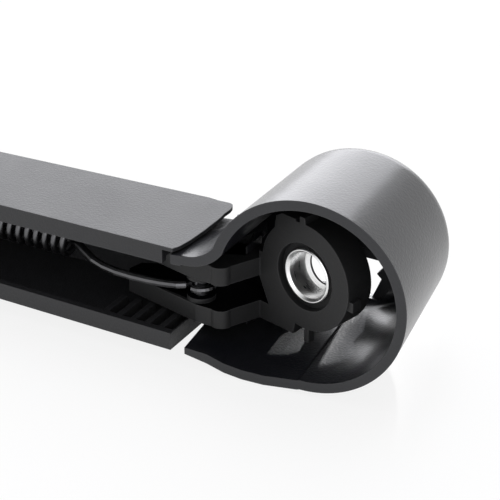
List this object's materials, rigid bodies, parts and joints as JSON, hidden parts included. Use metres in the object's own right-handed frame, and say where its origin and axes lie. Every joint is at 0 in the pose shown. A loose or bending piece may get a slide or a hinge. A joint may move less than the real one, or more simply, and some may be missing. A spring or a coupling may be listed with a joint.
{
  "type": "rear wiper arm",
  "caption": "Sprung rear wiper arm: channel arm pivoted on a cast spindle head with a metal bore insert, tension spring and link inside, and a hinged round cap over the head.",
  "frame": {"origin": "on the spindle axis, where the straight seat of the insert begins", "axes": "-Y out of the bore towards the glass, -X along the arm to its tip, +Z across the arm"},
  "size_m": [0.2524, 0.1025, 0.0439],
  "materials": {
    "cast_black": "black coated die casting, satin",
    "insert_metal": "bright turned",
    "pin_steel": "plain steel",
    "arm_black": "black, fine even grain",
    "spring_steel": "dark oiled spring steel",
    "link_steel": "drawn wire",
    "cap_black": "black satin, fine grain"
  },
  "bodies": {
    "head": {"spindle_head": "cast_black", "spindle_insert": "insert_metal", "pivot_pin": "pin_steel", "hook_pin": "pin_steel"},
    "arm": {"arm_beam": "arm_black", "anchor_pin": "pin_steel", "blade_pin": "pin_steel", "tension_spring": "spring_steel"},
    "link": {"spring_link": "link_steel"},
    "cap": {"head_cap": "cap_black"}
  },
  "joints": [
    {"name": "arm_lift", "type": "hinge", "parent": "head", "child": "arm", "pos_m": [-0.0297, -0.00128, -0.0072], "axis": [0, 0, -1], "range_deg": [0, 50], "stiffness_Nm_per_rad": 0.4, "springref_deg": -171.89},
    {"name": "link_swing", "type": "hinge", "parent": "head", "child": "link", "pos_m": [-0.0225, -0.0086, -0.0072], "axis": [0, 0, -1], "range_deg": [0, 42]},
    {"name": "cap_flip", "type": "hinge", "parent": "head", "child": "cap", "pos_m": [-0.0297, -0.00128, -0.0072], "axis": [0, 0, 1], "range_deg": [-2, 20]}
  ],
  "couplings": [
    {"joint": "link_swing", "follows": "arm_lift", "ratio": 0.8214}
  ]
}
